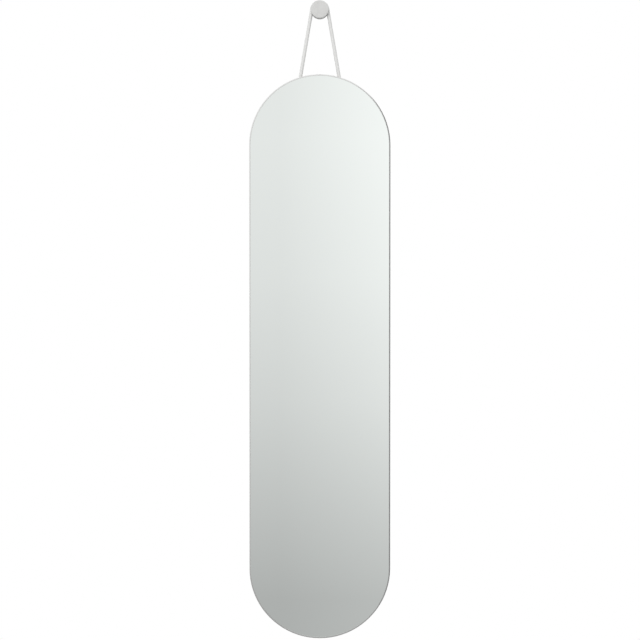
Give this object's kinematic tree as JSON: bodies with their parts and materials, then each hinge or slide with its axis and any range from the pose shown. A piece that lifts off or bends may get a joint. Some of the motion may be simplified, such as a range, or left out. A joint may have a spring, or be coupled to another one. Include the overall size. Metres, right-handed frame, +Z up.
{
  "type": "wall mirror",
  "caption": "Tall pill-shaped wall mirror in a thin metal rim that hangs by a round cord from a grooved knob on the wall.",
  "frame": {"origin": "where the knob's axis meets the wall, at the mouth of the wall plug", "axes": "+Y into the wall along the plug, +Z up along the mirror, +X to the right as seen from the room; the wall is the plane y = 0"},
  "size_m": [0.4, 0.087, 1.813],
  "materials": {
    "knob_paint": "matte light grey powder coat",
    "cord_silicone": "smooth light grey silicone",
    "rim_aluminium": "satin anodised",
    "mirror_silver": "clear float glass, silvered at the back",
    "board_fibre": "raw medium density fibreboard",
    "foam_tape": "closed-cell mounting foam",
    "zinc_steel": "bright zinc plate",
    "nickel_zinc": "satin nickel plate on a casting",
    "pin_steel": "ground steel",
    "black_steel": "black oxide",
    "grey_nylon": "moulded grey nylon",
    "bumper_rubber": "matte black rubber"
  },
  "bodies": {
    "wall_knob": {"knob_body": "knob_paint", "knob_boss": "zinc_steel", "boss_screw": "zinc_steel", "grub_screw": "black_steel", "wall_plug": "grey_nylon"},
    "strap": {"hanging_cord": "cord_silicone", "cord_end_left": "nickel_zinc", "cord_end_right": "nickel_zinc", "cross_pin_left": "pin_steel", "cross_pin_right": "pin_steel"},
    "mirror": {"rim": "rim_aluminium", "rim_splice": "zinc_steel", "splice_screws": "zinc_steel", "mirror_glass": "mirror_silver", "mounting_tape": "foam_tape", "backing_board": "board_fibre", "hanger_left": "zinc_steel", "hanger_right": "zinc_steel", "hanger_screws": "zinc_steel", "bumper_washers": "zinc_steel", "bumper_screws": "zinc_steel", "bumper_upper_left": "bumper_rubber", "bumper_upper_right": "bumper_rubber", "bumper_lower_left": "bumper_rubber", "bumper_lower_right": "bumper_rubber"}
  },
  "joints": [
    {"name": "swing", "type": "hinge", "parent": "wall_knob", "child": "strap", "pos_m": [0, -0.009, 0], "axis": [0, -1, 0], "range_deg": [-20, 20]},
    {"name": "tilt", "type": "hinge", "parent": "strap", "child": "mirror", "pos_m": [0, -0.009, -0.2225], "axis": [-1, 0, 0], "range_deg": [0, 10]}
  ]
}
